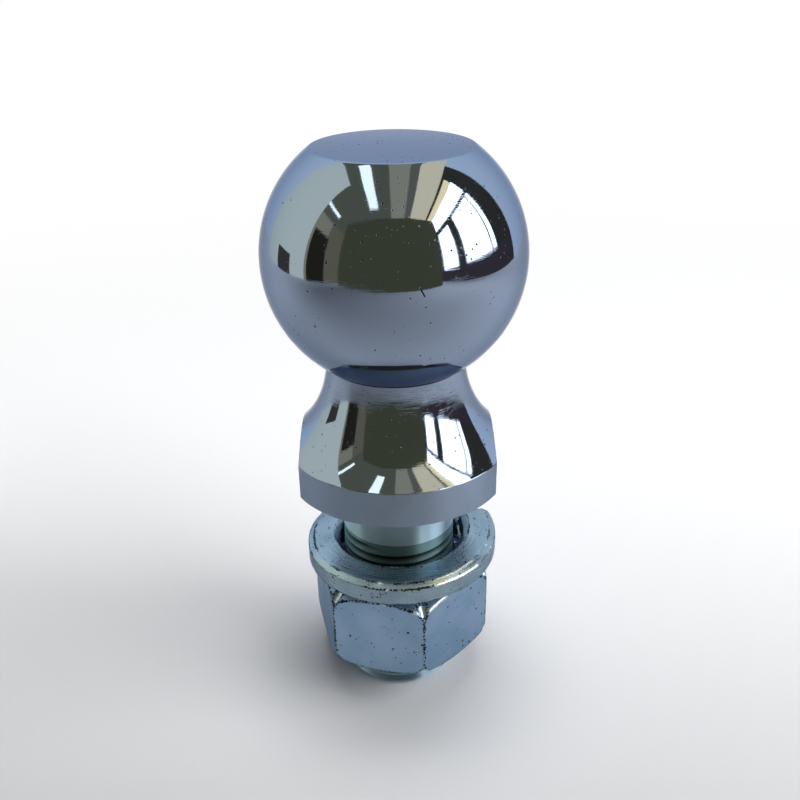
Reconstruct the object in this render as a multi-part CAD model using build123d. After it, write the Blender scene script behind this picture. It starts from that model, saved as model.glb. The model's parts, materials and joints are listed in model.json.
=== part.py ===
from build123d import *
import math
import os

os.makedirs("parts", exist_ok=True)

# All lengths in millimetres, +Z up, the axis of the ball on Z
# The end of the shank stands on Z = 0 and the front faces -Y

# Ball with its top flat
ball_diameter = 50.0
flat_above_centre = 20.1
flat_edge_break = 0.35

# Neck and concave flare
neck_diameter = 27.3
flare_height = 18.4
neck_entry_factor = 1.1

# Flange rim with two wrench flats
rim_diameter = 45.2
rim_height = 7.3
flats_width = 38.5
rim_edge_break = 0.3

# Shank
shank_diameter = 23.6
shank_length = 49.5
shank_end_chamfer = 0.9

# Hexagon nut
nut_wall = 5.2
nut_height = 19.4
nut_bottom = 7.9
nut_turn = 14.5
nut_chamfer_ratio = 0.94
nut_chamfer_angle = 30.0
nut_corner_ratio = 0.963
nut_corner_angle = 70.0
nut_bore_clearance = 0.1
nut_mouth_chamfer = 1.0

# Split spring washer
washer_play = 1.4
washer_shift = 0.6
washer_width = 7.0
washer_outer_side = 3.55
washer_inner_side = 5.05
washer_bevel = (1.27, 0.8)
washer_inner_chamfer = (1.3, 1.1)
washer_rise = 2.95
split_turn = 19.0
split_half_gap = 0.5
split_slant = 9.0

# Derived sizes
ball_radius = ball_diameter / 2
neck_radius = neck_diameter / 2
rim_radius = rim_diameter / 2
shank_radius = shank_diameter / 2
seat = shank_length
rim_top = seat + rim_height
flare_top = rim_top + flare_height
neck_entry = math.sqrt(ball_radius ** 2 - (neck_entry_factor * neck_radius) ** 2)
ball_centre = flare_top + neck_entry
flat_level = ball_centre + flat_above_centre
nut_bore_radius = shank_radius + nut_bore_clearance
nut_across_flats = shank_diameter + 2 * nut_wall
nut_top = nut_bottom + nut_height
washer_bore_radius = shank_radius + washer_play
washer_outer_radius = washer_bore_radius + washer_width


def turned(outline):
    """Turn a closed outline of (radius, height) points and arcs about the Z axis."""
    face = make_face(Plane.XZ * outline)
    return revolve(face, axis=Axis.Z)


def ball():
    """Ball with the flat on its top and a light break on the flat's edge."""
    sphere = Pos(0, 0, ball_centre) * Sphere(ball_radius)
    above = Pos(0, 0, flat_level) * Cylinder(
        ball_radius, ball_radius, align=(Align.CENTER, Align.CENTER, Align.MIN)
    )
    body = sphere - above
    rim = body.edges().filter_by(GeomType.CIRCLE).sort_by(Axis.Z)[-1]
    return chamfer(rim, flat_edge_break)


def flare():
    """Neck that leaves the ball upright and sweeps out in one arc to the flange rim."""
    reach = rim_radius - neck_radius
    arc_radius = (flare_height ** 2 + reach ** 2) / (2 * reach)
    half = math.asin(flare_height / arc_radius) / 2
    middle = (
        neck_radius + arc_radius * (1 - math.cos(half)),
        flare_top - arc_radius * math.sin(half),
    )
    cut = rim_edge_break
    outline = Curve() + [
        Line((0, flare_top), (neck_radius, flare_top)),
        ThreePointArc((neck_radius, flare_top), middle, (rim_radius, rim_top)),
        Line((rim_radius, rim_top), (rim_radius, seat + cut)),
        Line((rim_radius, seat + cut), (rim_radius - cut, seat)),
        Line((rim_radius - cut, seat), (0, seat)),
        Line((0, seat), (0, flare_top)),
    ]
    return turned(outline)


def wrench_flats():
    """Two blocks that leave the flange with parallel flats at its left and right."""
    tall = flare_top - seat
    depth = 2 * rim_radius
    block = Box(rim_radius, depth, tall, align=(Align.MIN, Align.CENTER, Align.MIN))
    right = Pos(flats_width / 2, 0, seat) * block
    return right + mirror(right, about=Plane.YZ)


def shank():
    """Round shank with a chamfered end, let into the flange."""
    cut = shank_end_chamfer
    outline = Curve() + [
        Line((0, 0), (shank_radius - cut, 0)),
        Line((shank_radius - cut, 0), (shank_radius, cut)),
        Line((shank_radius, cut), (shank_radius, seat + rim_height / 2)),
        Line((shank_radius, seat + rim_height / 2), (0, seat + rim_height / 2)),
        Line((0, seat + rim_height / 2), (0, 0)),
    ]
    return turned(outline)


def tow_ball_body():
    """Ball, neck, flange and shank as the one forged and turned piece."""
    return ball() + (flare() - wrench_flats()) + shank()


def hex_nut():
    """Hexagon nut chamfered at both ends, steeper at its corners, with a bore for the thread."""
    turn = nut_turn - 90.0
    hexagon = RegularPolygon(nut_across_flats / 2, 6, major_radius=False)
    corner = nut_across_flats / math.sqrt(3)
    blank = extrude(Rot(0, 0, turn) * hexagon, nut_height)
    crown = nut_chamfer_ratio * nut_across_flats / 2
    shoulder = nut_corner_ratio * corner
    fall = (shoulder - crown) * math.tan(math.radians(nut_chamfer_angle))
    reach = corner + 1.0
    drop = fall + (reach - shoulder) * math.tan(math.radians(nut_corner_angle))
    mouth = nut_mouth_chamfer
    bore = nut_bore_radius
    outline = Curve() + [
        Line((bore + mouth, 0), (crown, 0)),
        Line((crown, 0), (shoulder, fall)),
        Line((shoulder, fall), (reach, drop)),
        Line((reach, drop), (reach, nut_height - drop)),
        Line((reach, nut_height - drop), (shoulder, nut_height - fall)),
        Line((shoulder, nut_height - fall), (crown, nut_height)),
        Line((crown, nut_height), (bore + mouth, nut_height)),
        Line((bore + mouth, nut_height), (bore, nut_height - mouth)),
        Line((bore, nut_height - mouth), (bore, mouth)),
        Line((bore, mouth), (bore + mouth, 0)),
    ]
    return Pos(0, 0, nut_bottom) * (blank & turned(outline))


def washer_section():
    """Keystone section of the washer's bar: bevelled outside, chamfered inside."""
    inside = washer_bore_radius
    outside = washer_outer_radius
    points = [
        (inside, 0),
        (outside, 0),
        (outside, washer_outer_side),
        (outside - washer_bevel[0], washer_outer_side + washer_bevel[1]),
        (inside + washer_inner_chamfer[0], washer_inner_side),
        (inside, washer_inner_side - washer_inner_chamfer[1]),
    ]
    return make_face(Plane.XZ * Polyline(*points, close=True))


def slanted_end(upper):
    """Wedge that leaves one end of the bar leaning, with its tip up or down."""
    tall = washer_inner_side + 1.0
    run = tall * math.tan(math.radians(split_slant))
    if upper:
        corners = [(0, 0), (0, -run), (tall, 0)]
        base = washer_rise + washer_inner_side - tall
    else:
        corners = [(0, 0), (tall, 0), (tall, run)]
        base = 0.0
    points = [(washer_bore_radius - 1, side, base + up) for up, side in corners]
    face = make_face(Polyline(*points, close=True))
    return extrude(face, washer_width + 2, dir=(1, 0, 0))


def spring_washer():
    """One turn of keystone bar that climbs from end to end and lies loose, a little to +X."""
    middle = washer_bore_radius + washer_width / 2
    share = (360.0 - 2 * split_half_gap) / 360.0
    path = Helix(pitch=washer_rise, height=washer_rise * share, radius=middle)
    bar = sweep(washer_section(), path=path, is_frenet=True)
    bar = Rot(0, 0, split_half_gap) * bar
    bar = bar - slanted_end(False) - slanted_end(True)
    return Pos(washer_shift, 0, nut_top) * (Rot(0, 0, split_turn) * bar)


pieces = {
    "tow_ball_body": tow_ball_body(),
    "spring_washer": spring_washer(),
    "hex_nut": hex_nut(),
}

for name, piece in pieces.items():
    export_step(piece, f"parts/{name}.step")
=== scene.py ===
"""A coupling ball with its neck, flange and threaded shank, its spring washer and its hexagon nut.

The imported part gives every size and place. The pieces here stand for its nodes in the same places:
the forging turned about its axis with a cut thread, the keystone washer with its rough rolled edge
and the nut with worn corners. All lengths are in metres, +Z is up and the front faces -Y.
"""
import json
import logging
import math
from dataclasses import dataclass
from enum import Enum
from typing import Any, Callable, Sequence

import bmesh
import bpy
import numpy as np
from mathutils import Matrix, Vector
from mathutils.kdtree import KDTree


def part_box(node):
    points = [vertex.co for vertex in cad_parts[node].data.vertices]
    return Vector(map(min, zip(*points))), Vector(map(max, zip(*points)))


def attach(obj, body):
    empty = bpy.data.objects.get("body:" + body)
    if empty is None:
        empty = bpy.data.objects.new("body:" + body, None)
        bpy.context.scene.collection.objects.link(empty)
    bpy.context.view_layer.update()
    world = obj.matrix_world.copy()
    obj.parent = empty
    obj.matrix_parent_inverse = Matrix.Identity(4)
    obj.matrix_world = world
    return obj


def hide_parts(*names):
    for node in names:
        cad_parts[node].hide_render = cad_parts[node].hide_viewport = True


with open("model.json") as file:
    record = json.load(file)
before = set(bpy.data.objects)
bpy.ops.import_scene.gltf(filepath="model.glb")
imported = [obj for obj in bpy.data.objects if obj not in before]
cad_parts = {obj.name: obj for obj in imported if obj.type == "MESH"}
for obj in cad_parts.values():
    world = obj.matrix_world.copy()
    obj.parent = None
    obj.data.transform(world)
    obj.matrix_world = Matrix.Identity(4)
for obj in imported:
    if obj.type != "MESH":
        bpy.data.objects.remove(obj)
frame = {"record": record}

MM = 0.001
FRAME_PIXELS = 800.0
EDGE_WEAR = "edge_wear"
FULL_TURN = 2.0 * math.pi
WHITE = (1.0, 1.0, 1.0, 1.0)
# Tint of what a metal mirrors where it turns away from the eye
LIMB_TINT = "B2B7C2"
# Vertices that lie nearer to each other than this are merged
WELD = 0.0005 * MM
# A face that lies nearer to a plane than this lies on it
NEAR = 0.01 * MM
# A mix node's colour inputs and output go by number, because their names repeat
MIX_UNDER, MIX_OVER, MIX_RESULT = 6, 7, 2

logging.basicConfig(level=logging.INFO, format="%(message)s")
log = logging.getLogger("coupling_ball")

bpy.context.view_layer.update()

Point = tuple[float, float]


class Coat(Enum):
    """The finishes of the forging, as their order on it."""

    MIRROR = 0
    SATIN = 1
    PLAIN = 2
    DULL = 3


class Merge(Enum):
    """The ways to make one mark of several, as a math node's operation."""

    ALL = "MULTIPLY"
    ANY = "MAXIMUM"


@dataclass(frozen=True)
class Spot:
    """A long narrow place on a surface: a nick, a patch of wear or pits, a painted highlight or a patch
    of painted shade.
    """

    middle: tuple[float, float, float]
    way: tuple[float, float, float]
    length: float
    width: float


def linear(hex_code: str) -> tuple[float, float, float, float]:
    """Turn an sRGB hex colour into Blender's linear values.

    Args:
        hex_code: six hex digits.

    Returns:
        Linear red, green and blue, and full opacity.
    """
    shares = [int(hex_code[i:i + 2], 16) / 255.0 for i in (0, 2, 4)]
    red, green, blue = (
        s / 12.92 if s <= 0.04045 else ((s + 0.055) / 1.055) ** 2.4 for s in shares
    )
    return red, green, blue, 1.0


def per_mm(size: float) -> float:
    """Give the texture scale at which one feature is size millimetres wide."""
    return 1.0 / (size * MM)


def deselect_all() -> None:
    """Leave edit mode and deselect every object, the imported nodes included."""
    if bpy.context.object and bpy.context.object.mode != "OBJECT":
        bpy.ops.object.mode_set(mode="OBJECT")
    bpy.ops.object.select_all(action="DESELECT")


def make_active(piece: bpy.types.Object) -> None:
    """Select one object alone and make it the active one.

    Args:
        piece: the object.
    """
    deselect_all()
    piece.select_set(True)
    bpy.context.view_layer.objects.active = piece


def edit(piece: bpy.types.Object) -> None:
    """Open one object in edit mode with all of its mesh selected.

    Args:
        piece: the object.
    """
    make_active(piece)
    bpy.ops.object.mode_set(mode="EDIT")
    bpy.ops.mesh.select_all(action="SELECT")


def apply_modifier(piece: bpy.types.Object, kind: str, **settings: Any) -> None:
    """Add a modifier to a piece and apply it at once.

    Args:
        piece: the object to change.
        kind: the modifier's type name.
        settings: values of the modifier's own settings.
    """
    make_active(piece)
    modifier = piece.modifiers.new(kind.title(), kind)
    for name, value in settings.items():
        setattr(modifier, name, value)
    bpy.ops.object.modifier_apply(modifier=modifier.name)


def add_object(operator: Callable[..., Any], name: str, **settings: Any) -> bpy.types.Object:
    """Add one object with nothing else selected, and name it and its data.

    Args:
        operator: the operator that adds it.
        name: name of the new object.
        settings: values of the operator's own settings.

    Returns:
        The new object.
    """
    deselect_all()
    operator(**settings)
    added = bpy.context.object
    added.name = added.data.name = name
    return added


def draw_line(name: str, points: Sequence[Point], closed: bool = False) -> bpy.types.Object:
    """Draw an outline in the XZ plane by extruding one vertex from point to point.

    Args:
        name: name of the new object.
        points: places as (radius, height).
        closed: whether the last point is joined to the first.

    Returns:
        The new object, in object mode.
    """
    places = [Vector((radius, 0.0, height)) for radius, height in points]
    line = add_object(bpy.ops.mesh.primitive_plane_add, name, size=MM, location=places[0])
    bpy.ops.object.transform_apply(location=True, rotation=True, scale=True)
    edit(line)
    bpy.ops.mesh.select_mode(type="VERT")
    bpy.ops.mesh.select_all(action="SELECT")
    bpy.ops.mesh.merge(type="CENTER")
    for before, after in zip(places, places[1:]):
        bpy.ops.mesh.extrude_vertices_move(TRANSFORM_OT_translate={"value": after - before})
    if closed:
        mesh = bmesh.from_edit_mesh(line.data)
        for vertex in mesh.verts:
            vertex.select_set(len(vertex.link_edges) == 1)
        bmesh.update_edit_mesh(line.data)
        bpy.ops.mesh.edge_face_add()
    bpy.ops.object.mode_set(mode="OBJECT")
    return line


def arc(centre: Point, radius: float, start: float, end: float, steps: int) -> list[Point]:
    """Give the points of a circular arc.

    Args:
        centre: middle of the arc as (radius, height).
        radius: radius of the arc.
        start: first angle, in radians.
        end: last angle, in radians.
        steps: number of equal steps.

    Returns:
        One point more than there are steps, as (radius, height).
    """
    turn = (end - start) / steps
    angles = [start + turn * i for i in range(steps + 1)]
    return [(centre[0] + radius * math.cos(a), centre[1] + radius * math.sin(a)) for a in angles]


def rounded(corner: Point, before: Point, after: Point, size: float, steps: int = 4) -> list[Point]:
    """Give the points that round one corner of an outline.

    Args:
        corner: the sharp corner.
        before: a place on the side that leads to it.
        after: a place on the side that leaves it.
        size: distance from the corner at which the round starts and ends.
        steps: number of steps round the corner.

    Returns:
        The round's points in the outline's order, as (radius, height).
    """
    middle = Vector(corner)
    first = middle + (Vector(before) - middle).normalized() * size
    last = middle + (Vector(after) - middle).normalized() * size
    shares = [i / steps for i in range(steps + 1)]
    return [tuple(first * (1 - t) ** 2 + middle * 2 * t * (1 - t) + last * t * t) for t in shares]


def read_rows(parts: Any, value: str = "co") -> np.ndarray:
    """Read one place of each vertex or face of a mesh.

    Args:
        parts: the mesh's vertices or its faces.
        value: name of the place that is read.

    Returns:
        Rows of x, y and z.
    """
    values = np.empty(len(parts) * 3, np.float32)
    parts.foreach_get(value, values)
    return values.reshape(-1, 3).astype(float)


def write_points(piece: bpy.types.Object, points: np.ndarray) -> None:
    """Put a mesh's vertices at new places, given as rows of x, y and z."""
    piece.data.vertices.foreach_set("co", points.astype(np.float32).ravel())
    piece.data.update()


def soft_step(value: np.ndarray, low: float, high: float) -> np.ndarray:
    """Rise softly from 0, where value is low, to 1, where it is high."""
    share = np.clip((value - low) / (high - low), 0.0, 1.0)
    return share * share * (3.0 - 2.0 * share)


def close_shell(join: Callable[[], Any]) -> None:
    """Close the mesh in edit mode, turn its faces outwards and leave edit mode.

    Args:
        join: operator that makes the faces between the open edges.
    """
    bpy.ops.mesh.select_mode(type="EDGE")
    bpy.ops.mesh.select_all(action="DESELECT")
    bpy.ops.mesh.select_non_manifold(extend=False)
    join()
    bpy.ops.mesh.select_all(action="SELECT")
    bpy.ops.mesh.normals_make_consistent(inside=False)
    bpy.ops.object.mode_set(mode="OBJECT")


def mark_edges(piece: bpy.types.Object, sharp: float, reach: float) -> np.ndarray:
    """Store how near each vertex is to an edge, for the wear along the edges.

    Args:
        piece: the object, in object mode.
        sharp: turn between neighbouring faces from which on they meet at an edge, in degrees.
        reach: distance from an edge at which the value has fallen to 0.

    Returns:
        The stored value of each vertex, 1 at an edge.
    """
    mesh = bmesh.new()
    mesh.from_mesh(piece.data)
    least = math.radians(sharp)
    edges = [v.co for v in mesh.verts if any(e.calc_face_angle(0.0) > least for e in v.link_edges)]
    tree = KDTree(len(edges))
    for index, place in enumerate(edges):
        tree.insert(place, index)
    tree.balance()
    away = np.array([tree.find(v.co)[2] for v in mesh.verts])
    mesh.free()
    values = np.clip(1.0 - away / reach, 0.0, 1.0)
    layer = piece.data.attributes.new(EDGE_WEAR, "FLOAT", "POINT")
    layer.data.foreach_set("value", values.astype(np.float32))
    return values


def roughen(piece: bpy.types.Object, height: float, grain: float, weights: np.ndarray) -> None:
    """Push a mesh in and out along its normals by a cloud pattern.

    Args:
        piece: the object, in object mode.
        height: distance between the lowest and the highest place.
        grain: width of one bump.
        weights: share of the height that each vertex gets.
    """
    texture = bpy.data.textures.new(f"{piece.name}_roughness", "CLOUDS")
    texture.noise_scale = grain
    texture.noise_depth = 2
    group = piece.vertex_groups.new(name="rough_zone")
    for index, weight in enumerate(weights):
        group.add([index], float(weight), "REPLACE")
    apply_modifier(
        piece, "DISPLACE", texture=texture, strength=height, mid_level=0.5,
        texture_coords="LOCAL", vertex_group=group.name,
    )
    piece.vertex_groups.clear()


def shade(piece: bpy.types.Object, crease: float) -> None:
    """Smooth a piece's shading everywhere but at edges sharper than crease, in degrees."""
    make_active(piece)
    bpy.ops.object.shade_smooth_by_angle(angle=math.radians(crease))


@dataclass(frozen=True)
class Wear:
    """How the edges of a piece are broken, worn and beaten rough.

    Angles are in degrees, and least is the share of the bumps that plain faces get.
    """

    break_width: float
    break_steps: int
    break_angle: float
    edge_angle: float
    edge_reach: float
    bumps: float
    grain: float
    least: float
    crease: float = 40.0

    def apply(self, piece: bpy.types.Object) -> None:
        """Break and mark the edges, then roughen the piece, most of all along them.

        Args:
            piece: the closed piece, in object mode.
        """
        apply_modifier(
            piece, "BEVEL", width=self.break_width, segments=self.break_steps,
            limit_method="ANGLE", angle_limit=math.radians(self.break_angle),
        )
        apply_modifier(piece, "SUBSURF", levels=1, render_levels=1)
        marked = mark_edges(piece, self.edge_angle, self.edge_reach)
        roughen(piece, self.bumps, self.grain, np.clip(marked, self.least, 1.0))
        shade(piece, self.crease)


def stand_in(piece: bpy.types.Object, node: str) -> None:
    """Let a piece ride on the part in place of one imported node.

    Args:
        piece: the finished object.
        node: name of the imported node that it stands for.
    """
    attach(piece, "root")
    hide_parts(node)
    log.info("%s: %d vertices", piece.name, len(piece.data.vertices))


def add_node(
    tree: bpy.types.NodeTree, kind: str, sockets: dict[Any, Any] | None = None, out: Any = 0,
    **settings: Any,
) -> Any:
    """Add a node, set its settings and fill or link its sockets.

    Args:
        tree: the node tree that gets it.
        kind: type name of the node, without its prefix.
        sockets: a value or another node's output for each input, by name or number.
        out: name or number of the output that is wanted.
        settings: values of the node's own settings.

    Returns:
        The wanted output, or None where the node has none.
    """
    made = tree.nodes.new(f"ShaderNode{kind}")
    for name, value in settings.items():
        setattr(made, name, value)
    for key, value in (sockets or {}).items():
        if isinstance(value, bpy.types.NodeSocket):
            tree.links.new(value, made.inputs[key])
        else:
            made.inputs[key].default_value = value
    return made.outputs[out] if len(made.outputs) else None


def blank_tree(block: bpy.types.Material | bpy.types.World) -> bpy.types.NodeTree:
    """Give a material or a world an empty node tree.

    Args:
        block: the material or world.

    Returns:
        Its node tree.
    """
    block.use_nodes = True
    block.node_tree.nodes.clear()
    return block.node_tree


class Surface:
    """The node tree of one finish, with the marks that several metals share."""

    def __init__(self, name: str) -> None:
        """Start a material with the piece's own coordinates.

        Args:
            name: the material's name.
        """
        self.material = bpy.data.materials.new(name)
        self.tree = blank_tree(self.material)
        self.place = self.add("TexCoord", out="Object")

    def add(self, kind: str, sockets: dict[Any, Any] | None = None, out: Any = 0, **settings: Any) -> Any:
        """Add a node to this finish, as add_node does."""
        return add_node(self.tree, kind, sockets, out, **settings)

    def cover(self, shader: Any) -> bpy.types.Material:
        """Give the material with a shader's output as its surface."""
        self.add("OutputMaterial", {"Surface": shader})
        return self.material

    def metal(
        self, colour: Any, roughness: Any, normal: Any, turned: float = 0.0,
    ) -> bpy.types.Material:
        """Give the material as a metal that is dimmed at its limbs.

        Args:
            colour: output with its colour.
            roughness: output with its roughness.
            normal: output with its bumped normal.
            turned: how far lines turned round the Z axis smear its mirror upwards, from 0 to 1.

        Returns:
            The material.
        """
        sockets = {
            "Base Color": colour, "Metallic": 1.0, "Roughness": roughness, "Normal": normal,
            "Specular Tint": linear(LIMB_TINT),
        }
        if turned:
            sockets.update({"Anisotropic": turned, "Tangent": self.add("CombineXYZ", {"Z": 1.0})})
        return self.cover(self.add("BsdfPrincipled", sockets))

    def merged(self, how: Merge, first: Any, *others: Any) -> Any:
        """Make one mark of several, taken in turn.

        Args:
            how: whether the mark is where all of them are, or where any of them is.
            first: output or value of the first mark.
            others: outputs or values of the others.

        Returns:
            The output with the share of mark.
        """
        for other in others:
            first = self.add("Math", {0: first, 1: other}, operation=how.value)
        return first

    def piled(self, base: Any, shares: Sequence[tuple[Any, float]]) -> Any:
        """Add several marks to a first value, each times a number.

        Args:
            base: the first output or value.
            shares: pairs of a mark's output and its number.

        Returns:
            The output with the sum.
        """
        for mark, share in shares:
            base = self.add("Math", {0: mark, 1: share, 2: base}, operation="MULTIPLY_ADD")
        return base

    def from_axis(self) -> Any:
        """Give the distance from the Z axis."""
        level = self.add("VectorMath", {0: self.place, 1: (1.0, 1.0, 0.0)}, operation="MULTIPLY")
        return self.add("VectorMath", {0: level}, "Value", operation="LENGTH")

    def height_band(self, low: float, high: float, soft: float) -> Any:
        """Give 1 between two heights and 0 beyond a soft margin outside them.

        Args:
            low: the lower height.
            high: the upper height.
            soft: width of the margin.

        Returns:
            The output with the share of band.
        """
        height = self.add("SeparateXYZ", {0: self.place}, "Z")
        offset = self.add("Math", {0: height, 1: (low + high) / 2}, operation="SUBTRACT")
        away = self.add("Math", {0: offset}, operation="ABSOLUTE")
        half = (high - low) / 2
        return self.add("MapRange", {
            "Value": away, "From Min": half, "From Max": half + soft, "To Min": 1.0, "To Max": 0.0,
        })

    def cut_noise(self, place: Any, scale: float, detail: float, low: float, high: float) -> Any:
        """Give noise that is cut to a soft rise.

        Args:
            place: output with the coordinates.
            scale: number of bumps in one unit of them.
            detail: levels of finer bumps.
            low: noise value that gives 0.
            high: noise value that gives 1.

        Returns:
            The output with the share of bump.
        """
        noise = self.add("TexNoise", {"Vector": place, "Scale": scale, "Detail": detail})
        return self.add(
            "MapRange", {"Value": noise, "From Min": low, "From Max": high},
            interpolation_type="SMOOTHSTEP",
        )

    def clouds(self, size: float, low: float, high: float, detail: float = 3.0) -> Any:
        """Give soft clouds that rise from 0 at the noise value low to 1 at high.

        Args:
            size: width of one cloud, in millimetres.
            low: noise value that gives 0.
            high: noise value that gives 1.
            detail: levels of finer clouds.

        Returns:
            The output with the share of cloud.
        """
        return self.cut_noise(self.place, per_mm(size), detail, low, high)

    def streaks(self, across: float, along: float, low: float, high: float, tilt: float = 0.0) -> Any:
        """Give fine marks that run round the axis, as a lathe or a polishing belt leaves.

        Args:
            across: height of one mark, in millimetres.
            along: length of one mark, in millimetres.
            low: noise value that gives 0.
            high: noise value that gives 1.
            tilt: slope of the marks, in radians.

        Returns:
            The output with the share of mark.
        """
        stretched = self.add("Mapping", {
            "Vector": self.place, "Rotation": (tilt, tilt, 0.0),
            "Scale": (along * MM, along * MM, across * MM),
        }, vector_type="TEXTURE")
        return self.cut_noise(stretched, 1.0, 2.0, low, high)

    def rings(self, spacing: float, low: float, high: float) -> Any:
        """Give circular marks round the axis, which run by their distance from it.

        Args:
            spacing: distance between two marks, in millimetres.
            low: noise value that gives 0.
            high: noise value that gives 1.

        Returns:
            The output with the share of mark.
        """
        height = self.add("SeparateXYZ", {0: self.place}, "Z")
        drift = self.add("TexNoise", {"Vector": self.place, "Scale": per_mm(16.0)})
        drift = self.merged(Merge.ALL, drift, spacing * MM)
        place = self.add("CombineXYZ", {"X": self.from_axis(), "Y": height, "Z": drift})
        return self.cut_noise(place, per_mm(spacing), 2.0, low, high)

    def pits(self, spacing: float, width: float, share: float, zone: Any = 1.0) -> Any:
        """Give small scattered pits, 1 in a pit and 0 between them.

        Args:
            spacing: distance between the places where a pit may be, in millimetres.
            width: width of the widest pit, in millimetres.
            share: share of those places that have a pit, from 0 to 1.
            zone: output or value that scales the pits' width.

        Returns:
            The output with the share of pit.
        """
        sockets = {"Vector": self.place, "Scale": per_mm(spacing)}
        reach = self.add("TexVoronoi", sockets, "Distance")
        chance = self.add("TexVoronoi", sockets, "Color")
        red = self.add("SeparateColor", {0: chance})
        radius = self.add("MapRange", {
            "Value": red, "From Min": 1.0 - share, "From Max": 1.0,
            "To Min": 0.0, "To Max": width / spacing / 2.0,
        })
        radius = self.merged(Merge.ALL, radius, zone)
        inside = self.add("Math", {0: radius, 1: reach}, operation="SUBTRACT")
        return self.add(
            "MapRange", {"Value": inside, "From Min": 0.0, "From Max": 0.12 * width / spacing},
            interpolation_type="SMOOTHSTEP",
        )

    def spot(self, spot: Spot, soft: float = 0.3) -> Any:
        """Give 1 in one long narrow place and 0 elsewhere.

        Args:
            spot: the place.
            soft: share of its width that is soft edge.

        Returns:
            The output with the share of spot.
        """
        along = tuple(Vector(spot.way).normalized())
        half = spot.length / 2
        offset = self.add("VectorMath", {0: self.place, 1: spot.middle}, operation="SUBTRACT")
        travel = self.add("VectorMath", {0: offset, 1: along}, "Value", operation="DOT_PRODUCT")
        held = self.add("Clamp", {"Value": travel, "Min": -half, "Max": half})
        foot = self.add("VectorMath", {0: along, "Scale": held}, operation="SCALE")
        away = self.add("VectorMath", {0: offset, 1: foot}, "Value", operation="DISTANCE")
        return self.add("MapRange", {
            "Value": away, "From Min": spot.width * (0.5 - soft / 2), "From Max": spot.width * 0.5,
            "To Min": 1.0, "To Max": 0.0,
        })

    def dented(self, depths: Sequence[tuple[Any, float]]) -> Any:
        """Give a bumped normal from several marks.

        Args:
            depths: pairs of a mark's output and its height, below zero where it is cut in.

        Returns:
            The output with the normal.
        """
        normal = None
        for mark, height in depths:
            sockets = {"Height": mark, "Distance": abs(height), "Strength": 1.0}
            if normal:
                sockets["Normal"] = normal
            normal = self.add("Bump", sockets, invert=height < 0)
        return normal

    def tinted(self, base: str, overlays: Sequence[tuple[Any, str]]) -> Any:
        """Give a colour with marks laid over it in turn: dirt, wear, and in places painted shade or a
        painted highlight.

        Args:
            base: hex colour of the clean metal.
            overlays: pairs of a mark's output and the hex colour that it has.

        Returns:
            The output with the colour.
        """
        colour: Any = linear(base)
        for mark, overlay_colour in overlays:
            colour = self.add(
                "Mix", {"Factor": mark, MIX_UNDER: colour, MIX_OVER: linear(overlay_colour)}, MIX_RESULT,
                data_type="RGBA",
            )
        return colour


@dataclass(frozen=True)
class PolishedChrome:
    """Bright chrome plate on turned and polished steel: a clear mirror with a cold tint.

    Sparse dark pits in the plate, a light haze from handling and patches of level polishing
    lines keep it from looking like glass.
    """

    base: str = "8D9AAE"
    # Colour of the pits, the dust and the nick, and of the shade painted along the crease where ball
    # meets flare
    pit: str = "14161A"
    roughness: float = 0.035
    # Millimetres between lines, several times the real spacing, so that they show in the picture
    polish: float = 0.16
    hair: float = 0.09
    seam: float = 75.2 * MM
    belt: Point = (69.5 * MM, 73.0 * MM)
    nick: Spot = Spot((4.5 * MM, -24.55 * MM, 96.64 * MM), (0.5, 0.03, -1.0), 1.6 * MM, 0.3 * MM)

    def material(self) -> bpy.types.Material:
        """Build the material.

        Returns:
            The material.
        """
        s = Surface("polished_chrome_plate")
        zone = s.clouds(size=9.0, low=0.38, high=0.56)
        pits = s.pits(spacing=0.85, width=0.45, share=0.55, zone=zone)
        dust = s.pits(spacing=0.5, width=0.18, share=0.45, zone=zone)
        lines = s.streaks(across=self.polish, along=9.0, low=0.4, high=0.62)
        lines = s.merged(Merge.ALL, lines, s.clouds(size=9.0, low=0.42, high=0.62))
        rubbed = s.height_band(*self.belt, 3.0 * MM)
        rubbed = s.merged(Merge.ALL, rubbed, s.clouds(size=5.0, low=0.36, high=0.56))
        hairs = s.streaks(across=self.hair, along=4.0, low=0.5, high=0.66)
        hairs = s.merged(Merge.ALL, hairs, rubbed)
        # Painted shade: a dark line along the crease where the ball meets the flare
        seam = s.height_band(self.seam - 0.1 * MM, self.seam + 0.04 * MM, 0.06 * MM)
        haze = s.clouds(size=6.0, low=0.3, high=0.8)
        ripple = s.clouds(size=3.5, low=0.2, high=0.8, detail=1.0)
        nick = s.spot(self.nick)
        rough = s.piled(self.roughness, [(haze, 0.03), (rubbed, 0.07), (pits, 0.6)])
        marks = [
            (ripple, 0.004 * MM), (lines, 0.0016 * MM), (hairs, 0.005 * MM), (pits, -0.03 * MM),
            (nick, -0.06 * MM),
        ]
        overlays = [(mark, self.pit) for mark in (dust, pits, nick, seam)]
        return s.metal(s.tinted(self.base, overlays), rough, s.dented(marks))


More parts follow.
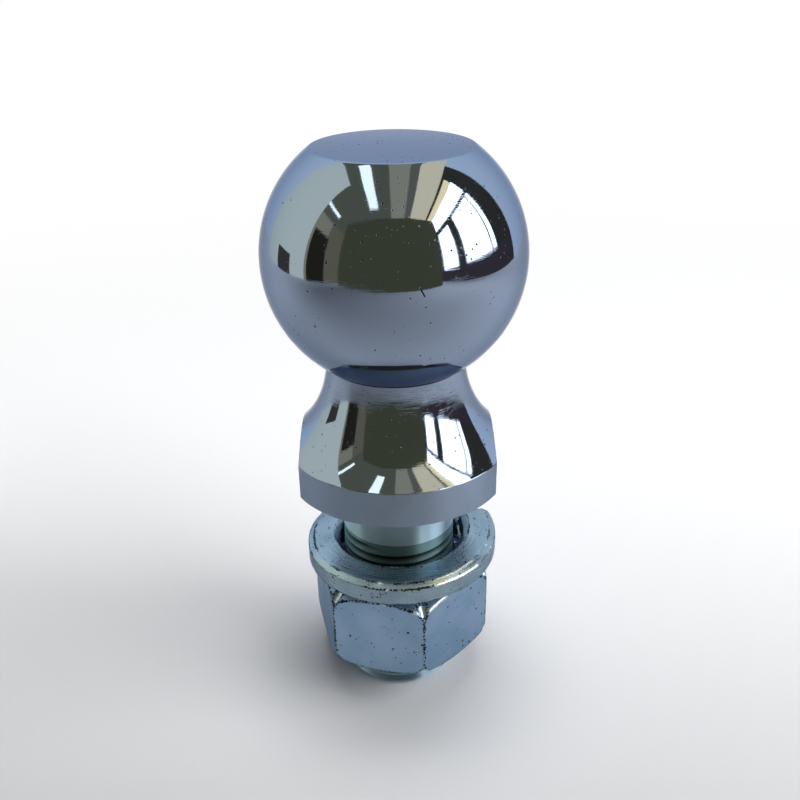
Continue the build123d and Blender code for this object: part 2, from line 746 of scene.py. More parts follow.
@dataclass(frozen=True)
class SatinChrome:
    """Chrome plate on a face left as ground: a soft grey sheen with a fine crossed grain.

    On the rim, turning lines under the grain smear what it mirrors up and down.
    """

    name: str = "satin_chrome_plate"
    base: str = "8492A6"
    pit: str = "22262C"
    roughness: float = 0.3
    turned: float = 0.75
    # Millimetres between marks of the grain, coarser than the real one, so that they show
    grain: float = 0.1
    grain_height: float = 0.0024 * MM
    slope: float = math.radians(38.0)

    def material(self) -> bpy.types.Material:
        """Build the material.

        Returns:
            The material.
        """
        s = Surface(self.name)
        rising = s.streaks(across=self.grain, along=1.4, low=0.35, high=0.65, tilt=self.slope)
        falling = s.streaks(across=self.grain, along=1.4, low=0.35, high=0.65, tilt=-self.slope)
        cloud = s.clouds(size=4.0, low=0.3, high=0.7)
        pits = s.pits(spacing=2.2, width=0.4, share=0.2)
        rough = s.piled(self.roughness, [(rising, 0.06), (cloud, 0.1)])
        marks = [(rising, self.grain_height), (falling, self.grain_height), (pits, -0.05 * MM)]
        return s.metal(s.tinted(self.base, [(pits, self.pit)]), rough, s.dented(marks), self.turned)


@dataclass(frozen=True)
class ThreadedSteel:
    """Thin bright plate on a turned shank, with a dull greenish thread, grimy specks, and painted shade
    in the thread grooves that darkens towards their roots.

    Turning lines smear what the plain part mirrors up and down, into one bright band on dark.
    """

    base: str = "9FB9C8"
    dull: str = "6A8790"
    # Colour of the grimy specks, and of the shade painted into the thread grooves
    grime_and_groove_shade: str = "1C2423"
    roughness: float = 0.45
    turned: float = 0.97
    # Millimetres between turning lines, coarser than the real ones, so that they show
    line: float = 0.1
    plain: float = 11.78 * MM
    crest: float = 11.7 * MM
    root: float = 11.0 * MM
    end: float = 4.5 * MM

    def material(self) -> bpy.types.Material:
        """Build the material.

        Returns:
            The material.
        """
        s = Surface("bright_turned_steel")
        reach = s.from_axis()
        above = s.height_band(self.end, 60.0 * MM, 1.5 * MM)
        cut = s.merged(Merge.ALL, s.add("MapRange", {
            "Value": reach, "From Min": self.plain, "From Max": self.crest + 0.01 * MM,
        }), above)
        # Painted shade: the thread grooves darken from the crest towards the root
        groove_shade = s.merged(Merge.ALL, s.add("MapRange", {
            "Value": reach, "From Min": self.crest - 0.05 * MM, "From Max": self.root, "To Max": 0.9,
        }), above)
        brushed = s.streaks(across=self.line, along=12.0, low=0.35, high=0.65)
        zone = s.clouds(size=5.0, low=0.45, high=0.6)
        specks = s.pits(spacing=1.1, width=0.4, share=0.35, zone=zone)
        rough = s.piled(self.roughness, [(brushed, 0.04), (cut, 0.1)])
        overlays = [(cut, self.dull), (groove_shade, self.grime_and_groove_shade), (specks, self.grime_and_groove_shade)]
        marks = [(brushed, 0.0015 * MM), (specks, -0.08 * MM)]
        return s.metal(s.tinted(self.base, overlays), rough, s.dented(marks), self.turned)


@dataclass(frozen=True)
class ZincPlate:
    """Zinc plate: a cold, cloudy half gloss, pitted, with dark crumbled and bright worn edges; on the
    washer a pitted place also paints shade and a bright one paints a highlight.
    """

    name: str
    base: str
    cloudy: str
    # Place with more pits and crumbled edge; on the washer it also paints shade at the front
    pitted: Spot
    # Places of bright worn edge; on the washer one of them also paints the highlight of the window light
    # at the front right
    bright: tuple[Spot, ...]
    bare_and_highlight: str = "C6D0D4"
    pit: str = "15191C"
    crumb: str = "262D33"
    roughness: float = 0.3
    sound: float = 1.78
    zoned: float = 0.15
    ring_height: float = 0.0

    def material(self) -> bpy.types.Material:
        """Build the material.

        Returns:
            The material.
        """
        s = Surface(self.name)
        edge = s.add("Attribute", out="Fac", attribute_name=EDGE_WEAR)
        zone = s.clouds(size=5.0, low=0.45, high=0.62)
        # Painted shade on the washer: its pitted place at the front adds pits and crumbled edge over the
        # real speckles
        zone = s.merged(Merge.ANY, zone, s.spot(self.pitted, soft=0.6))
        rubbed = s.clouds(size=4.0, low=0.6, high=0.66)
        # Painted highlight on the washer: one bright place lightens its worn bevel at the front right
        rubbed = s.merged(Merge.ANY, rubbed, *(s.spot(place) for place in self.bright))
        crumbs = s.add("TexNoise", {"Vector": s.place, "Scale": per_mm(0.45), "Detail": 4.0})
        # Worn edge in the light worn colour, which on the washer's front right is also a painted
        # highlight
        worn = s.merged(Merge.ALL, edge, rubbed, crumbs)
        worn = s.add("MapRange", {"Value": worn, "From Min": 0.33, "From Max": 0.45})
        ragged = s.piled(edge, [(crumbs, 1.6), (zone, self.zoned), (worn, -0.5)])
        eaten = s.add("MapRange", {
            "Value": ragged, "From Min": self.sound, "From Max": self.sound + 0.08,
        })
        pits = s.pits(spacing=0.55, width=0.45, share=0.7, zone=zone)
        holes = s.pits(spacing=1.5, width=0.7, share=0.45)
        cloud = s.clouds(size=7.0, low=0.3, high=0.7)
        plating = s.clouds(size=0.5, low=0.2, high=0.8)
        shares = [(plating, 0.06), (cloud, 0.08)]
        marks = [
            (plating, 0.003 * MM), (pits, -0.06 * MM), (holes, -0.08 * MM), (eaten, -0.06 * MM),
        ]
        if self.ring_height:
            rings = s.rings(spacing=0.3, low=0.35, high=0.65)
            marks.append((rings, self.ring_height))
            shares.append((rings, 0.12))
        overlays = [
            (cloud, self.cloudy), (worn, self.bare_and_highlight), (eaten, self.crumb), (pits, self.pit),
            (holes, self.pit),
        ]
        rough = s.piled(self.roughness, shares)
        return s.metal(s.tinted(self.base, overlays), rough, s.dented(marks))


@dataclass
class TurnedBody:
    """The forging: ball with its flat, neck, flared flange with two wrench flats, and shank."""

    centre: float
    ball: float
    top: float
    seat: float
    neck: float = 13.65 * MM
    flare_height: float = 18.4 * MM
    rim: float = 22.6 * MM
    rim_height: float = 7.3 * MM
    flats: float = 19.25 * MM
    shank: float = 11.8 * MM
    root: float = 0.4 * MM
    blank: float = 11.7 * MM
    blank_top: float = 37.4 * MM
    end_chamfer: float = 0.9 * MM
    pitch: float = 2.0 * MM
    thread_depth: float = 1.05 * MM
    crest_share: float = 0.25
    root_share: float = 0.125
    run_out: float = 0.14
    last_groove: tuple[float, float] = (math.radians(200.0), 35.7 * MM)
    last_turn: float = math.radians(264.0)
    crease: float = 28.0
    segments: int = 192
    thread_steps: int = 96
    thread_rows: int = 16

    def meeting(self) -> Point:
        """Find where the ball's underside meets the flare.

        Returns:
            The place as (radius, height).
        """
        hollow, sweep = self.flare_circle()
        start = Vector((0.0, self.centre))
        way = Vector(hollow) - start
        apart = way.length
        along = (self.ball ** 2 - sweep ** 2 + apart ** 2) / (2.0 * apart)
        aside = math.sqrt(self.ball ** 2 - along ** 2)
        unit = way / apart
        foot = start + unit * along
        found = [foot + Vector((unit.y, -unit.x)) * aside * sign for sign in (1.0, -1.0)]
        return tuple(max(found, key=lambda p: p.y if p.y < self.centre else -1.0))

    def flare_circle(self) -> tuple[Point, float]:
        """Work out the flare's hollow arc, which is upright at the neck.

        Returns:
            The arc's centre as (radius, height), and its radius.
        """
        reach = self.rim - self.neck
        sweep = (self.flare_height ** 2 + reach ** 2) / (2.0 * reach)
        return (self.neck + sweep, self.seat + self.rim_height + self.flare_height), sweep

    def outline(self) -> list[Point]:
        """Draw the turned outline from the middle of the top flat to the thread's start.

        Long plain faces have a point near each end, so that their shading stays straight.

        Returns:
            The outline's points as (radius, height).
        """
        middle = (0.0, self.centre)
        edge = math.asin((self.top - self.centre) / self.ball)
        flat = self.ball * math.cos(edge)
        soft, crisp, under, blunt = 0.35 * MM, 0.12 * MM, 0.3 * MM, 0.1 * MM
        joint = self.meeting()
        hollow, sweep = self.flare_circle()
        rim_top = self.seat + self.rim_height
        down = math.atan2(joint[1] - self.centre, joint[0])
        ball = arc(middle, self.ball, edge - soft / self.ball, down, steps=80)
        start = math.atan2(joint[1] - hollow[1], joint[0] - hollow[0]) % FULL_TURN
        end = math.pi + math.asin(self.flare_height / sweep) - crisp / sweep
        flare = arc(hollow, sweep, start, end, steps=36)
        return [
            (0.0, self.top),
            *rounded((flat, self.top), (0.0, self.top), ball[1], soft),
            *ball[1:],
            *flare[1:],
            *rounded((self.rim, rim_top), flare[-2], (self.rim, self.seat), crisp),
            (self.rim, rim_top - 3 * crisp),
            (self.rim, self.seat + 2 * under),
            *rounded((self.rim, self.seat), (self.rim, rim_top), (self.shank, self.seat), under),
            *rounded((self.shank, self.seat), (self.rim, self.seat), (self.shank, 0.0), self.root),
            (self.shank, self.seat - 2 * self.root),
            (self.shank, self.blank_top + 3 * blunt),
            *rounded(
                (self.shank, self.blank_top), (self.shank, self.seat), (0.0, self.blank_top),
                blunt, steps=2,
            ),
            (self.blank, self.blank_top - 1.5 * blunt),
        ]

    def turned(self) -> bpy.types.Object:
        """Spin the outline into the ball, flange and plain shank, and cut the wrench flats.

        Returns:
            The body, open at the shank's lower end.
        """
        body = draw_line("tow_ball_forging", self.outline())
        edit(body)
        bpy.ops.mesh.spin(steps=self.segments, angle=FULL_TURN, center=(0, 0, 0), axis=(0, 0, 1))
        bpy.ops.mesh.select_all(action="SELECT")
        bpy.ops.mesh.remove_doubles(threshold=WELD)
        for side in (1.0, -1.0):
            self.cut_flat(body, side)
        bpy.ops.object.mode_set(mode="OBJECT")
        return body

    def cut_flat(self, body: bpy.types.Object, side: float) -> None:
        """Cut one wrench flat into the flange.

        Args:
            body: the turned body, in edit mode.
            side: 1 for the flat at +X and -1 for the one at -X.
        """
        low = self.seat - NEAR
        high = self.flare_circle()[0][1]
        inner = self.shank + self.root
        bpy.ops.mesh.select_mode(type="FACE")
        bpy.ops.mesh.select_all(action="DESELECT")
        mesh = bmesh.from_edit_mesh(body.data)
        for face in mesh.faces:
            middle = face.calc_center_median()
            face.select_set(low < middle.z < high and middle.xy.length > inner)
        bmesh.update_edit_mesh(body.data)
        bpy.ops.mesh.bisect(
            plane_co=(side * self.flats, 0, 0), plane_no=(side, 0, 0),
            use_fill=True, clear_outer=True, threshold=WELD,
        )

    def thread(self) -> bpy.types.Object:
        """Wind the helical skin of the shank's lower part and trim it level at both ends.

        Returns:
            The skin, open at the top.
        """
        turn, height = self.last_groove
        origin = height - self.pitch * turn / FULL_TURN
        below = math.ceil(origin / self.pitch) + 1
        start = origin - self.pitch * below
        rows = [start + self.pitch * i / self.thread_rows for i in range(self.thread_rows + 1)]
        skin = draw_line("shank_thread", [(self.blank, z) for z in rows])
        apply_modifier(
            skin, "SCREW", angle=FULL_TURN, screw_offset=self.pitch, iterations=below + 3,
            steps=self.thread_steps, render_steps=self.thread_steps,
        )
        edit(skin)
        bpy.ops.mesh.remove_doubles(threshold=WELD)
        # The skin ends a little below the turned part, and build closes the gap
        bpy.ops.mesh.bisect(
            plane_co=(0, 0, self.blank_top - 0.4 * MM), plane_no=(0, 0, 1),
            clear_outer=True, threshold=WELD,
        )
        bpy.ops.mesh.select_all(action="SELECT")
        bpy.ops.mesh.bisect(
            plane_co=(0, 0, 0), plane_no=(0, 0, 1), use_fill=True, clear_inner=True, threshold=WELD,
        )
        bpy.ops.object.mode_set(mode="OBJECT")
        write_points(skin, self.grooved(read_rows(skin.data.vertices), origin))
        return skin

    def grooved(self, points: np.ndarray, origin: float) -> np.ndarray:
        """Press the thread's groove and the end chamfer into a plain skin.

        Args:
            points: the skin's vertices.
            origin: height of the last groove at the +X side.

        Returns:
            The vertices with the thread cut.
        """
        turn = np.arctan2(points[:, 1], points[:, 0]) % FULL_TURN
        radius = np.hypot(points[:, 0], points[:, 1])
        rise = (points[:, 2] - origin) / self.pitch - turn / FULL_TURN
        groove = np.round(rise)
        away = np.abs(rise - groove)
        wall = 0.5 - self.crest_share / 2 - self.root_share / 2
        depth = np.clip((0.5 - self.crest_share / 2 - away) / wall, 0.0, 1.0)
        last = self.last_turn / FULL_TURN
        fade = 1.0 - soft_step(groove + turn / FULL_TURN, last - self.run_out, last)
        cut = radius - self.thread_depth * depth * fade
        cut = np.minimum(cut, self.blank - self.end_chamfer + np.maximum(points[:, 2], 0.0))
        points[:, :2] *= (np.minimum(cut, radius) / np.maximum(radius, 1e-9))[:, None]
        return points

    def build(self) -> bpy.types.Object:
        """Model the whole forging as one closed mesh.

        Returns:
            The forging.
        """
        body = self.turned()
        skin = self.thread()
        make_active(body)
        skin.select_set(True)
        bpy.ops.object.join()
        edit(body)
        close_shell(bpy.ops.mesh.bridge_edge_loops)
        shade(body, self.crease)
        return body

    def dress(self, body: bpy.types.Object) -> None:
        """Give ball and flare their mirror, the rim its satin, the seat and the shank their own.

        Args:
            body: the forging.
        """
        finishes = {
            Coat.MIRROR: PolishedChrome(seam=self.meeting()[1]),
            Coat.SATIN: SatinChrome(),
            Coat.PLAIN: ThreadedSteel(),
            Coat.DULL: SatinChrome("dull_chrome_plate", base="8A96A4", roughness=0.4, turned=0.0),
        }
        for coat in Coat:
            body.data.materials.append(finishes[coat].material())
        middles = read_rows(body.data.polygons, "center")
        heights = middles[:, 2]
        inner = np.hypot(middles[:, 0], middles[:, 1]) < self.shank + self.root + NEAR
        under = heights < self.seat + NEAR
        flat = np.abs(middles[:, 0]) > self.flats - NEAR
        rim = (heights < self.seat + self.rim_height) | (flat & (heights < self.centre - self.ball / 2))
        coats = np.full(len(middles), Coat.MIRROR.value, np.int32)
        for faces, coat in (
            (rim, Coat.SATIN), (under & inner, Coat.PLAIN), (under & ~inner, Coat.DULL),
        ):
            coats[faces] = coat.value
        body.data.polygons.foreach_set("material_index", coats)


@dataclass
class SpringWasher:
    """The split lock washer: one turn of keystone bar, beaten rough on its outer bevel."""

    bottom: float
    outer: float
    shift: float
    bore: float = 13.2 * MM
    outer_side: float = 3.55 * MM
    inner_side: float = 5.05 * MM
    bevel: Point = (1.27 * MM, 0.8 * MM)
    inner_chamfer: Point = (1.3 * MM, 1.1 * MM)
    rise: float = 2.95 * MM
    split: float = math.radians(19.0)
    half_gap: float = math.radians(0.5)
    slant: float = math.radians(9.0)
    slant_reach: float = math.radians(20.0)
    steps: int = 150
    face_length: float = 1.1 * MM
    wear: Wear = Wear(
        break_width=0.14 * MM, break_steps=2, break_angle=15.0, edge_angle=5.0,
        edge_reach=0.8 * MM, bumps=0.1 * MM, grain=0.45 * MM, least=0.1,
    )

    def section(self) -> list[Point]:
        """Draw the bar's keystone section, which is highest near the bore.

        Returns:
            The section's points as (radius, height).
        """
        corners = [
            (self.bore, 0.0),
            (self.outer, 0.0),
            (self.outer, self.outer_side),
            (self.outer - self.bevel[0], self.outer_side + self.bevel[1]),
            (self.bore + self.inner_chamfer[0], self.inner_side),
            (self.bore, self.inner_side - self.inner_chamfer[1]),
        ]
        points: list[Point] = []
        for start, end in zip(corners, corners[1:] + corners[:1]):
            count = max(1, round(math.dist(start, end) / self.face_length))
            points += [tuple(Vector(start).lerp(Vector(end), i / count)) for i in range(count)]
        return points

    def build(self) -> bpy.types.Object:
        """Wind the bar, close and slant its ends, and wear it.

        Returns:
            The washer.
        """
        ring = draw_line("split_spring_washer", self.section(), closed=True)
        sweep = FULL_TURN - 2 * self.half_gap
        climb = self.rise * sweep / FULL_TURN
        apply_modifier(
            ring, "SCREW", angle=sweep, screw_offset=climb, steps=self.steps, render_steps=self.steps,
        )
        edit(ring)
        close_shell(bpy.ops.mesh.edge_face_add)
        self.place(ring, sweep)
        self.wear.apply(ring)
        return ring

    def place(self, ring: bpy.types.Object, sweep: float) -> None:
        """Slant the bar's two ends, then turn and lift it to its place on the nut.

        Args:
            ring: the wound bar, its lower end at +X.
            sweep: angle that the bar spans.
        """
        points = read_rows(ring.data.vertices)
        turn = np.arctan2(points[:, 1], points[:, 0]) % FULL_TURN
        turn = np.where(turn > sweep + 0.01, turn - FULL_TURN, turn)
        radius = np.hypot(points[:, 0], points[:, 1])
        up = points[:, 2] - self.rise * turn / FULL_TURN
        lower = up * math.tan(self.slant) / radius * (1.0 - soft_step(turn, 0.0, self.slant_reach))
        back = (self.inner_side - up) * math.tan(self.slant) / radius
        upper = back * soft_step(turn, sweep - self.slant_reach, sweep)
        turned = turn + self.half_gap + self.split + lower - upper
        points[:, 0] = self.shift + radius * np.cos(turned)
        points[:, 1] = radius * np.sin(turned)
        points[:, 2] += self.bottom
        write_points(ring, points)

    def dress(self, ring: bpy.types.Object) -> None:
        """Give the washer its zinc plate with circular marks, painted shade at the front and a painted
        highlight at the front right.

        Args:
            ring: the washer.
        """
        # Painted shade: more pits and crumbled edge at the front darken its bevel, over the real speckles
        # there
        front = Spot((2.2 * MM, -19.5 * MM, 33.4 * MM), (1.0, 0.08, 0.02), 11.0 * MM, 3.0 * MM)
        # Painted highlight: worn edge at the front right, made bright where the window light falls
        right = Spot((11.5 * MM, -16.2 * MM, 33.6 * MM), (1.0, 0.75, 0.0), 9.0 * MM, 3.0 * MM)
        finish = ZincPlate(
            "worn_zinc_plated_spring_steel_with_painted_light", "8FA3AF", "8094A1", front, (right,), bare_and_highlight="D6DAD6",
            # zoned sets how far the pitted places crumble the edge; at the washer's front this is also
            # painted shade
            roughness=0.16, sound=1.95, zoned=0.34, ring_height=0.006 * MM,
        )
        ring.data.materials.append(finish.material())


@dataclass
class HexNut:
    """The hexagon nut, chamfered at both ends, with worn and pitted corners."""

    bottom: float
    top: float
    half_width: float = 17.0 * MM
    turn: float = math.radians(14.5)
    crown: float = 15.98 * MM
    chamfer_angle: float = math.radians(30.0)
    shoulder: float = 18.9 * MM
    corner_angle: float = math.radians(70.0)
    bore: float = 11.9 * MM
    mouth: float = 1.0 * MM
    side_cuts: int = 13
    rows: int = 12
    wear: Wear = Wear(
        break_width=0.3 * MM, break_steps=3, break_angle=24.0, edge_angle=7.0,
        edge_reach=0.9 * MM, bumps=0.12 * MM, grain=0.6 * MM, least=0.06,
    )

    def ring(self, nut: bpy.types.Object, radius: float, height: float) -> None:
        """Extrude the open loop and make it a circle.

        Args:
            nut: the nut, in edit mode with its open loop selected.
            radius: the new loop's radius.
            height: the new loop's height.
        """
        bpy.ops.mesh.extrude_region_move()
        bpy.ops.transform.tosphere(value=1.0)
        mesh = bmesh.from_edit_mesh(nut.data)
        for vertex in (v for v in mesh.verts if v.select):
            vertex.co = (*(vertex.co.xy.normalized() * radius), height)
        bmesh.update_edit_mesh(nut.data)

    def build(self) -> bpy.types.Object:
        """Model the nut from a hexagon, loop by loop, close it through its bore and wear it.

        Returns:
            The nut.
        """
        nut = add_object(
            bpy.ops.mesh.primitive_circle_add, "chamfered_hex_nut", vertices=6,
            radius=self.half_width / math.cos(math.pi / 6), location=(0, 0, self.bottom),
        )
        bpy.ops.object.transform_apply(location=True, rotation=True, scale=True)
        edit(nut)
        bpy.ops.mesh.subdivide(number_cuts=self.side_cuts)
        step = (self.top - self.bottom) / self.rows
        for _ in range(self.rows):
            bpy.ops.mesh.extrude_region_move(TRANSFORM_OT_translate={"value": (0, 0, step)})
        for radius, height in (
            (self.crown, self.top), (self.bore + self.mouth, self.top),
            (self.bore, self.top - self.mouth), (self.bore, self.bottom + self.mouth),
            (self.bore + self.mouth, self.bottom), (self.crown, self.bottom),
        ):
            self.ring(nut, radius, height)
        close_shell(bpy.ops.mesh.bridge_edge_loops)
        self.place(nut)
        self.wear.apply(nut)
        return nut

    def place(self, nut: bpy.types.Object) -> None:
        """Drop the hexagon's ends to the chamfer cones and turn the nut to its place.

        Args:
            nut: the closed nut, in object mode.
        """
        points = read_rows(nut.data.vertices)
        radius = np.hypot(points[:, 0], points[:, 1])
        steep = math.tan(self.corner_angle) - math.tan(self.chamfer_angle)
        drop = np.maximum(radius - self.crown, 0.0) * math.tan(self.chamfer_angle)
        drop += np.maximum(radius - self.shoulder, 0.0) * steep
        middle = (self.top + self.bottom) / 2
        half = (self.top - self.bottom) / 2
        up = (points[:, 2] - middle) / half
        points[:, 2] = middle + up * (half - drop)
        turned = Matrix.Rotation(self.turn, 3, "Z")
        write_points(nut, points @ np.array(turned).T)

    def dress(self, nut: bpy.types.Object) -> None:
        """Give the nut its blue zinc plate, bright where its corners are worn.

        Args:
            nut: the nut.
        """
        front = Spot((2.1 * MM, -17.0 * MM, 18.2 * MM), (0.2, 0.0, 1.0), 3.5 * MM, 5.0 * MM)
        arc_end = Spot((7.2 * MM, -16.7 * MM, 26.0 * MM), (5.0, 4.5, 1.2), 6.5 * MM, 1.8 * MM)
        corners = [self.turn + FULL_TURN * (i + 0.5) / 6 for i in range(6)]
        reach, drop = 18.5 * MM, 1.7 * MM
        tips = [
            Spot(
                (reach * math.cos(a), reach * math.sin(a), self.top - drop),
                (math.cos(a), math.sin(a), -0.8), 1.6 * MM, 1.7 * MM,
            )
            for a in corners
        ]
        finish = ZincPlate("blue_zinc_plated_steel", "8FA6C0", "829FBA", front, (arc_end, *tips))
        nut.data.materials.append(finish.material())


@dataclass(frozen=True)
class Card:
    """One plain board of the studio, which the metal mirrors and the camera doesn't see."""

    name: str
    low: tuple[float, float, float]
    high: tuple[float, float, float]
    colour: str
    strength: float = 1.0

    def build(self) -> None:
        """Set the board up between its two corners and give it its even glow."""
        low, high = Vector(self.low), Vector(self.high)
        middle = (low + high) / 2
        board = add_object(bpy.ops.mesh.primitive_cube_add, self.name, size=1.0, location=middle)
        board.scale = [max(side, MM) for side in high - low]
        paint = Surface(f"{self.name}_paint")
        glow = paint.add("Emission", {"Color": linear(self.colour), "Strength": self.strength})
        board.data.materials.append(paint.cover(glow))
        board.visible_camera = False
        board.visible_diffuse = False
        board.visible_shadow = False


@dataclass(frozen=True)
class Softbox:
    """One flat lamp with an even glow."""

    name: str
    middle: tuple[float, float, float]
    aim: tuple[float, float, float]
    size: Point
    glow: float
    mirrored: bool = True
    spread: float = math.pi

    def build(self) -> None:
        """Hang the lamp and point it at its aim."""
        turn = (Vector(self.aim) - Vector(self.middle)).to_track_quat("-Z", "Y").to_euler()
        lamp = add_object(
            bpy.ops.object.light_add, self.name, type="AREA", location=self.middle, rotation=turn,
        )
        lamp.data.shape = "RECTANGLE"
        lamp.data.size, lamp.data.size_y = self.size
        lamp.data.energy = self.glow * math.pi * self.size[0] * self.size[1]
        lamp.data.spread = self.spread
        lamp.visible_camera = False
        lamp.visible_glossy = self.mirrored


@dataclass
class Studio:
    """The pale floor, the white beyond it, the boards round the part and the lamps."""

    floor_radius: float = 6.0
    floor_gap: float = 0.02 * MM
    floor_colour: str = "F6F7F9"
    near_middle: tuple[float, float, float] = (0.0, -0.32, 0.0)
    near: float = 0.3
    far: float = 0.75
    dim: float = 0.08
    key: float = 0.75
    panes: float = 5.0

    def seen(self, tree: bpy.types.NodeTree) -> Any:
        """Give 1 for what the camera, a mirror or a clear piece shows, and 0 for other light.

        Args:
            tree: the node tree that asks.

        Returns:
            The output with the 1 or 0.
        """
        total = add_node(tree, "LightPath", out="Is Camera Ray")
        for name in ("Is Glossy Ray", "Is Transmission Ray"):
            other = add_node(tree, "LightPath", out=name)
            total = add_node(tree, "Math", {0: total, 1: other}, operation="MAXIMUM")
        return total

    def floor(self) -> None:
        """Lay the pale floor, which keeps the part's shadow and turns plain white far away."""
        floor = add_object(
            bpy.ops.mesh.primitive_circle_add, "studio_floor", vertices=96,
            radius=self.floor_radius, fill_type="NGON", location=(0, 0, -self.floor_gap),
        )
        surface = Surface("pale_matt_board")
        away = surface.add(
            "VectorMath", {0: surface.place, 1: self.near_middle}, "Value", operation="DISTANCE",
        )
        share = surface.add(
            "MapRange", {"Value": away, "From Min": self.near, "From Max": self.far},
            interpolation_type="SMOOTHSTEP",
        )
        share = surface.merged(Merge.ALL, share, self.seen(surface.tree))
        pale = surface.add("BsdfDiffuse", {"Color": linear(self.floor_colour)})
        white = surface.add("Emission", {"Color": WHITE, "Strength": 1.0})
        mixed = surface.add("MixShader", {0: share, 1: pale, 2: white})
        floor.data.materials.append(surface.cover(mixed))

    def world(self) -> None:
        """Fill the rest with white, at full strength where it shows and dimmer as light."""
        world = bpy.data.worlds.new("studio_white")
        tree = blank_tree(world)
        level = add_node(tree, "MapRange", {"Value": self.seen(tree), "To Min": self.dim})
        white = add_node(tree, "Background", {"Color": WHITE, "Strength": level})
        add_node(tree, "OutputWorld", {"Surface": white})
        world.cycles.sampling_method = "NONE"
        bpy.context.scene.world = world

    def boards(self) -> list[Card]:
        """List the boards: a dim front and ceiling, a pale left side, a dark right, a cold back.

        Returns:
            The boards.
        """
        # Side walls, ceiling, the room's near and left ends, its back, its right end, and where
        # the dim ceiling ends
        wall, top, room, back, side, edge = 0.5, 0.9, 1.3, 0.75, 1.2, 0.33
        pale, cold, bright = "FAFDE9", "B7BFCA", 2.1
        return [
            Card("front_board", (-0.45, -0.45, 0.0), (0.35, -0.45, 0.56), "65644B"),
            Card("front_corner_board", (-wall, -0.5, 0.0), (-wall, -0.3, 0.465), "92896C"),
            Card("left_near_board", (-wall, -0.3, 0.0), (-wall, -0.12, 0.465), "BEB695"),
            Card("left_board", (-wall, -0.12, 0.0), (-wall, 0.34, top), pale, 1.19),
            Card("left_cove_board", (-wall, -0.12, top - 0.01), (-0.44, 0.34, top - 0.01), pale, 1.19),
            Card("left_black_flag", (0.01 - wall, -0.31, 0.0), (0.01 - wall, -0.14, 0.33), "383228"),
            Card("left_low_flag", (0.01 - wall, 0.02, 0.0), (0.01 - wall, 0.16, 0.1), "59524B"),
            Card("right_board", (wall, -0.75, 0.12), (wall, 0.22, top), "4B473F"),
            Card("right_low_board", (wall, -0.75, 0.0), (wall, 0.22, 0.12), "54494C"),
            Card("window_head", (wall - 0.01, -0.7, 0.72), (wall - 0.01, 0.0, 0.83), "FFE3AA", 2.4),
            Card("window_bar", (wall - 0.03, -0.03, 0.12), (wall - 0.03, -0.018, 0.5), "4B473F"),
            Card("ceiling_dim_board", (-room, -room, top), (-0.03, edge, top), "7D7D68"),
            Card("ceiling_mid_board", (-0.03, -room, top), (0.16, edge, top), "CBC1A4"),
            Card("ceiling_beam", (0.16, -room, top), (0.25, edge, top), "8B8676"),
            Card("ceiling_lit_board", (0.25, -room, top), (side, 0.4, top), "FFEBC0", 1.55),
            Card("near_strip", (-0.3, -0.57, 0.89), (-0.19, 0.13, 0.89), "FFFFF0", 3.0),
            Card("far_strip", (-0.87, -0.55, 0.89), (-0.81, -0.14, 0.89), "FFFFF0", 3.0),
            Card("back_left_board", (-room, -room, 0.0), (-room, back, top), cold, bright),
            Card("back_board", (-room, back, 0.0), (side, back, top), cold, bright),
            Card("back_top_board", (-room, edge, top + 0.01), (side, back, top + 0.01), cold, bright),
            Card("back_right_board", (wall, 0.22, 0.0), (wall, back, top), cold, bright),
        ]

    def lamps(self) -> list[Softbox]:
        """List the lamps: three window panes at the right and a soft key behind for the floor.

        Returns:
            The lamps.
        """
        # The panes hang a little inside the right wall
        wall = 0.48
        panes = [
            ("upper_pane", -0.285, 0.62, (0.6, 0.175)),
            ("near_pane", -0.47, 0.3, (0.2, 0.36)),
            ("far_pane", -0.13, 0.31, (0.3, 0.38)),
        ]
        return [
            *(Softbox(name, (wall, y, z), (0, y, z), size, self.panes) for name, y, z, size in panes),
            Softbox(
                "floor_key", (-0.02, 0.24, 0.7), (-0.02, 0.24, 0.0), (0.7, 0.5), self.key,
                mirrored=False, spread=math.radians(30.0),
            ),
        ]

    def build(self) -> None:
        """Set up floor, white, boards and lamps."""
        self.floor()
        self.world()
        for thing in (*self.boards(), *self.lamps()):
            thing.build()


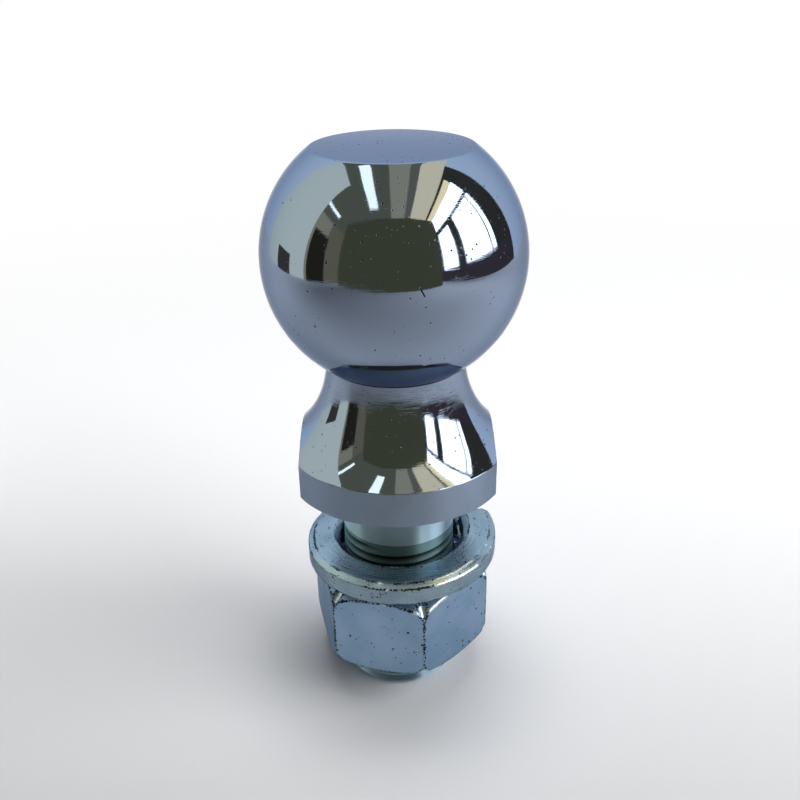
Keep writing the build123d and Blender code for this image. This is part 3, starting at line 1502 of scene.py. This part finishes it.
@dataclass(frozen=True)
class PhotoView:
    """The camera at the photograph's viewing angle."""

    place: tuple[float, float, float] = (0.0, -165.48 * MM, 148.53 * MM)
    down: float = math.radians(26.84)
    aside: float = math.radians(0.24)
    roll: float = math.radians(-0.88)
    focal_pixels: float = 921.9
    sensor: float = 36.0

    def build(self) -> None:
        """Add the camera and make it the scene's own."""
        ahead = Vector((
            math.sin(self.aside) * math.cos(self.down),
            math.cos(self.aside) * math.cos(self.down),
            -math.sin(self.down),
        ))
        right = ahead.cross(Vector((0, 0, 1))).normalized()
        above = right.cross(ahead)
        tilted = math.cos(self.roll) * right + math.sin(self.roll) * above
        upright = -math.sin(self.roll) * right + math.cos(self.roll) * above
        turn = Matrix((tilted, upright, -ahead)).transposed().to_euler()
        camera = add_object(
            bpy.ops.object.camera_add, "photo_camera", location=self.place, rotation=turn,
        )
        camera.data.sensor_width = self.sensor
        camera.data.lens = self.sensor * self.focal_pixels / FRAME_PIXELS
        camera.data.clip_start = 5 * MM
        bpy.context.scene.camera = camera


def mount(name: str) -> dict[str, Any]:
    """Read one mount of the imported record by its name."""
    return next(m for m in frame["record"]["mounts"] if m["name"] == name)


def main() -> None:
    """Build and dress every piece, then the studio and the camera."""
    ball = mount("coupler_ball")
    washer_low, washer_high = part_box("spring_washer")
    nut_low, nut_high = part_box("hex_nut")
    forging = TurnedBody(
        centre=ball["pos_m"][2],
        ball=ball["dims"]["r_mm"] * MM,
        top=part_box("tow_ball_body")[1].z,
        seat=mount("tongue_seat")["pos_m"][2],
    )
    washer = SpringWasher(
        bottom=washer_low.z,
        outer=(washer_high.x - washer_low.x) / 2,
        shift=(washer_high.x + washer_low.x) / 2,
    )
    nut = HexNut(bottom=nut_low.z, top=nut_high.z)
    for maker, node, slot in (
        (forging, "tow_ball_body", "body_chrome"),
        (washer, "spring_washer", "washer_zinc"),
        (nut, "hex_nut", "nut_zinc"),
    ):
        piece = maker.build()
        maker.dress(piece)
        stand_in(piece, node)
    Studio().build()
    PhotoView().build()
    bpy.context.scene.view_settings.view_transform = "Standard"
    deselect_all()


if __name__ == "__main__":
    main()
